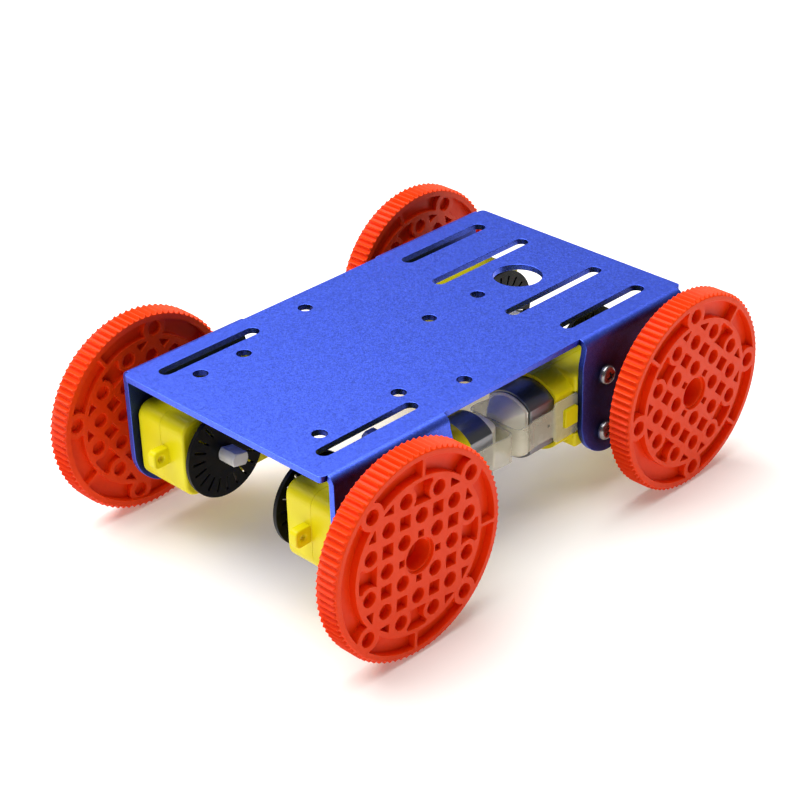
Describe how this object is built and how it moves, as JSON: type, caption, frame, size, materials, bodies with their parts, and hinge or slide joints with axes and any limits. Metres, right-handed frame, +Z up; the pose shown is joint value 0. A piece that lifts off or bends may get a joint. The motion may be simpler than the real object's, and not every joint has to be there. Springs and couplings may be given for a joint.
{
  "type": "four wheel robot chassis",
  "caption": "Bent sheet metal robot deck with slots and holes, carrying a geared motor and a toothed lattice wheel at each corner.",
  "frame": {"origin": "on the floor, under the middle of the deck, where the middle of the wheels' box projects", "axes": "+X to the front, the end with the large round hole; +Y to the left; +Z up"},
  "size_m": [0.1658, 0.1108, 0.058],
  "materials": {
    "deck_metal": "satin blue anodised",
    "wheel_plastic": "satin moulded",
    "gearbox_plastic": "satin moulded",
    "disc_plastic": "satin moulded",
    "shaft_plastic": "matte",
    "gear_plastic": "matte",
    "steel": "bright",
    "can_steel": "bright zinc",
    "rotor_metal": "satin",
    "cap_plastic": "milky",
    "strap_plastic": "clear plastic"
  },
  "bodies": {
    "chassis": {"deck": "deck_metal", "gearbox_outer_rear_right": "gearbox_plastic", "gearbox_inner_rear_right": "gearbox_plastic", "gear_pin_rear_right": "steel", "motor_can_rear_right": "can_steel", "motor_cap_rear_right": "cap_plastic", "strap_rear_right": "strap_plastic", "screw_upper_rear_right": "steel", "screw_lower_rear_right": "steel", "gearbox_outer_rear_left": "gearbox_plastic", "gearbox_inner_rear_left": "gearbox_plastic", "gear_pin_rear_left": "steel", "motor_can_rear_left": "can_steel", "motor_cap_rear_left": "cap_plastic", "strap_rear_left": "strap_plastic", "screw_upper_rear_left": "steel", "screw_lower_rear_left": "steel", "gearbox_outer_front_right": "gearbox_plastic", "gearbox_inner_front_right": "gearbox_plastic", "gear_pin_front_right": "steel", "motor_can_front_right": "can_steel", "motor_cap_front_right": "cap_plastic", "strap_front_right": "strap_plastic", "screw_upper_front_right": "steel", "screw_lower_front_right": "steel", "gearbox_outer_front_left": "gearbox_plastic", "gearbox_inner_front_left": "gearbox_plastic", "gear_pin_front_left": "steel", "motor_can_front_left": "can_steel", "motor_cap_front_left": "cap_plastic", "strap_front_left": "strap_plastic", "screw_upper_front_left": "steel", "screw_lower_front_left": "steel"},
    "wheel_rear_right": {"wheel_rear_right": "wheel_plastic", "output_shaft_rear_right": "shaft_plastic", "encoder_disc_rear_right": "disc_plastic"},
    "middle_gear_rear_right": {"middle_gear_rear_right": "gear_plastic"},
    "crown_gear_rear_right": {"crown_gear_rear_right": "gear_plastic"},
    "rotor_rear_right": {"rotor_rear_right": "rotor_metal"},
    "wheel_rear_left": {"wheel_rear_left": "wheel_plastic", "output_shaft_rear_left": "shaft_plastic", "encoder_disc_rear_left": "disc_plastic"},
    "middle_gear_rear_left": {"middle_gear_rear_left": "gear_plastic"},
    "crown_gear_rear_left": {"crown_gear_rear_left": "gear_plastic"},
    "rotor_rear_left": {"rotor_rear_left": "rotor_metal"},
    "wheel_front_right": {"wheel_front_right": "wheel_plastic", "output_shaft_front_right": "shaft_plastic", "encoder_disc_front_right": "disc_plastic"},
    "middle_gear_front_right": {"middle_gear_front_right": "gear_plastic"},
    "crown_gear_front_right": {"crown_gear_front_right": "gear_plastic"},
    "rotor_front_right": {"rotor_front_right": "rotor_metal"},
    "wheel_front_left": {"wheel_front_left": "wheel_plastic", "output_shaft_front_left": "shaft_plastic", "encoder_disc_front_left": "disc_plastic"},
    "middle_gear_front_left": {"middle_gear_front_left": "gear_plastic"},
    "crown_gear_front_left": {"crown_gear_front_left": "gear_plastic"},
    "rotor_front_left": {"rotor_front_left": "rotor_metal"}
  },
  "joints": [
    {"name": "wheel_spin_rear_right", "type": "hinge", "parent": "chassis", "child": "wheel_rear_right", "pos_m": [-0.05394, -0.0291, 0.029], "axis": [0, 1, 0], "continuous": true},
    {"name": "middle_spin_rear_right", "type": "hinge", "parent": "chassis", "child": "middle_gear_rear_right", "pos_m": [-0.04256, -0.0291, 0.029], "axis": [0, 1, 0], "continuous": true},
    {"name": "crown_spin_rear_right", "type": "hinge", "parent": "chassis", "child": "crown_gear_rear_right", "pos_m": [-0.03347, -0.0291, 0.029], "axis": [0, 1, 0], "continuous": true},
    {"name": "rotor_spin_rear_right", "type": "hinge", "parent": "chassis", "child": "rotor_rear_right", "pos_m": [-0.02554, -0.0291, 0.029], "axis": [1, 0, 0], "continuous": true},
    {"name": "wheel_spin_rear_left", "type": "hinge", "parent": "chassis", "child": "wheel_rear_left", "pos_m": [-0.05394, 0.0291, 0.029], "axis": [0, 1, 0], "continuous": true},
    {"name": "middle_spin_rear_left", "type": "hinge", "parent": "chassis", "child": "middle_gear_rear_left", "pos_m": [-0.04256, 0.0291, 0.029], "axis": [0, 1, 0], "continuous": true},
    {"name": "crown_spin_rear_left", "type": "hinge", "parent": "chassis", "child": "crown_gear_rear_left", "pos_m": [-0.03347, 0.0291, 0.029], "axis": [0, 1, 0], "continuous": true},
    {"name": "rotor_spin_rear_left", "type": "hinge", "parent": "chassis", "child": "rotor_rear_left", "pos_m": [-0.02554, 0.0291, 0.029], "axis": [1, 0, 0], "continuous": true},
    {"name": "wheel_spin_front_right", "type": "hinge", "parent": "chassis", "child": "wheel_front_right", "pos_m": [0.05394, -0.0291, 0.029], "axis": [0, 1, 0], "continuous": true},
    {"name": "middle_spin_front_right", "type": "hinge", "parent": "chassis", "child": "middle_gear_front_right", "pos_m": [0.04256, -0.0291, 0.029], "axis": [0, 1, 0], "continuous": true},
    {"name": "crown_spin_front_right", "type": "hinge", "parent": "chassis", "child": "crown_gear_front_right", "pos_m": [0.03347, -0.0291, 0.029], "axis": [0, 1, 0], "continuous": true},
    {"name": "rotor_spin_front_right", "type": "hinge", "parent": "chassis", "child": "rotor_front_right", "pos_m": [0.02554, -0.0291, 0.029], "axis": [1, 0, 0], "continuous": true},
    {"name": "wheel_spin_front_left", "type": "hinge", "parent": "chassis", "child": "wheel_front_left", "pos_m": [0.05394, 0.0291, 0.029], "axis": [0, 1, 0], "continuous": true},
    {"name": "middle_spin_front_left", "type": "hinge", "parent": "chassis", "child": "middle_gear_front_left", "pos_m": [0.04256, 0.0291, 0.029], "axis": [0, 1, 0], "continuous": true},
    {"name": "crown_spin_front_left", "type": "hinge", "parent": "chassis", "child": "crown_gear_front_left", "pos_m": [0.03347, 0.0291, 0.029], "axis": [0, 1, 0], "continuous": true},
    {"name": "rotor_spin_front_left", "type": "hinge", "parent": "chassis", "child": "rotor_front_left", "pos_m": [0.02554, 0.0291, 0.029], "axis": [1, 0, 0], "continuous": true}
  ],
  "couplings": [
    {"joint": "middle_spin_rear_right", "follows": "wheel_spin_rear_right", "ratio": -4},
    {"joint": "crown_spin_rear_right", "follows": "wheel_spin_rear_right", "ratio": 12},
    {"joint": "rotor_spin_rear_right", "follows": "wheel_spin_rear_right", "ratio": -48},
    {"joint": "middle_spin_rear_left", "follows": "wheel_spin_rear_left", "ratio": -4},
    {"joint": "crown_spin_rear_left", "follows": "wheel_spin_rear_left", "ratio": 12},
    {"joint": "rotor_spin_rear_left", "follows": "wheel_spin_rear_left", "ratio": 48},
    {"joint": "middle_spin_front_right", "follows": "wheel_spin_front_right", "ratio": -4},
    {"joint": "crown_spin_front_right", "follows": "wheel_spin_front_right", "ratio": 12},
    {"joint": "rotor_spin_front_right", "follows": "wheel_spin_front_right", "ratio": 48},
    {"joint": "middle_spin_front_left", "follows": "wheel_spin_front_left", "ratio": -4},
    {"joint": "crown_spin_front_left", "follows": "wheel_spin_front_left", "ratio": 12},
    {"joint": "rotor_spin_front_left", "follows": "wheel_spin_front_left", "ratio": -48}
  ]
}
